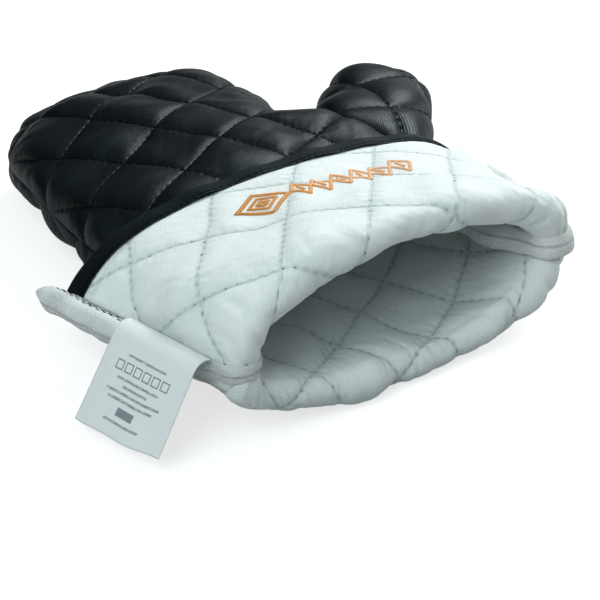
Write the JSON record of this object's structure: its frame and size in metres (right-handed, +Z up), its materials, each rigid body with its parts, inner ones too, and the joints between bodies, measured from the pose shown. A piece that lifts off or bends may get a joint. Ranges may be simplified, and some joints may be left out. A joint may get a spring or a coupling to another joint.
{
  "type": "heat resistant glove",
  "caption": "Quilted cotton mitt for handling hot cookware, lying palm down with its cuff turned back to show the quilted lining",
  "frame": {"origin": "on the surface the mitt lies on, under the middle of its box", "axes": "+Z up out of the back of the hand, +Y from the cuff to the fingertips, +X towards the thumb"},
  "size_m": [0.261, 0.2716, 0.0806],
  "materials": {
    "outer_cloth": "black ribbed cotton, quilted in squares",
    "wadding": "loose cotton wadding",
    "lining": "white ribbed cotton, quilted in squares",
    "hem_binding": "black bias binding",
    "seam_tape": "white cotton twill tape",
    "label_ribbon": "white satin ribbon",
    "embroidery": "orange satin stitch thread",
    "stitching": "black sewing thread"
  },
  "bodies": {
    "mitt": {"back_outer_cloth": "outer_cloth", "back_wadding": "wadding", "back_lining": "lining", "palm_outer_cloth": "outer_cloth", "palm_wadding": "wadding", "palm_lining": "lining", "back_hem_binding": "hem_binding", "palm_hem_binding": "hem_binding", "side_seam_tape": "seam_tape", "wrist_seam_tape": "seam_tape"},
    "thumb": {"thumb_back_outer_cloth": "outer_cloth", "thumb_back_wadding": "wadding", "thumb_back_lining": "lining", "thumb_palm_outer_cloth": "outer_cloth", "thumb_palm_wadding": "wadding", "thumb_palm_lining": "lining", "thumb_seam_tape": "seam_tape"},
    "label": {"care_label": "label_ribbon"}
  },
  "joints": [
    {"name": "thumb_swing", "type": "hinge", "parent": "mitt", "child": "thumb", "pos_m": [0.04703, 0.0369, 0], "axis": [0, 0, 1], "range_deg": [0, 20]},
    {"name": "label_flap", "type": "hinge", "parent": "mitt", "child": "label", "pos_m": [-0.10433, -0.09242, 0.03947], "axis": [-0.1733, 0.9827, -0.0649], "range_deg": [0, 115]}
  ]
}
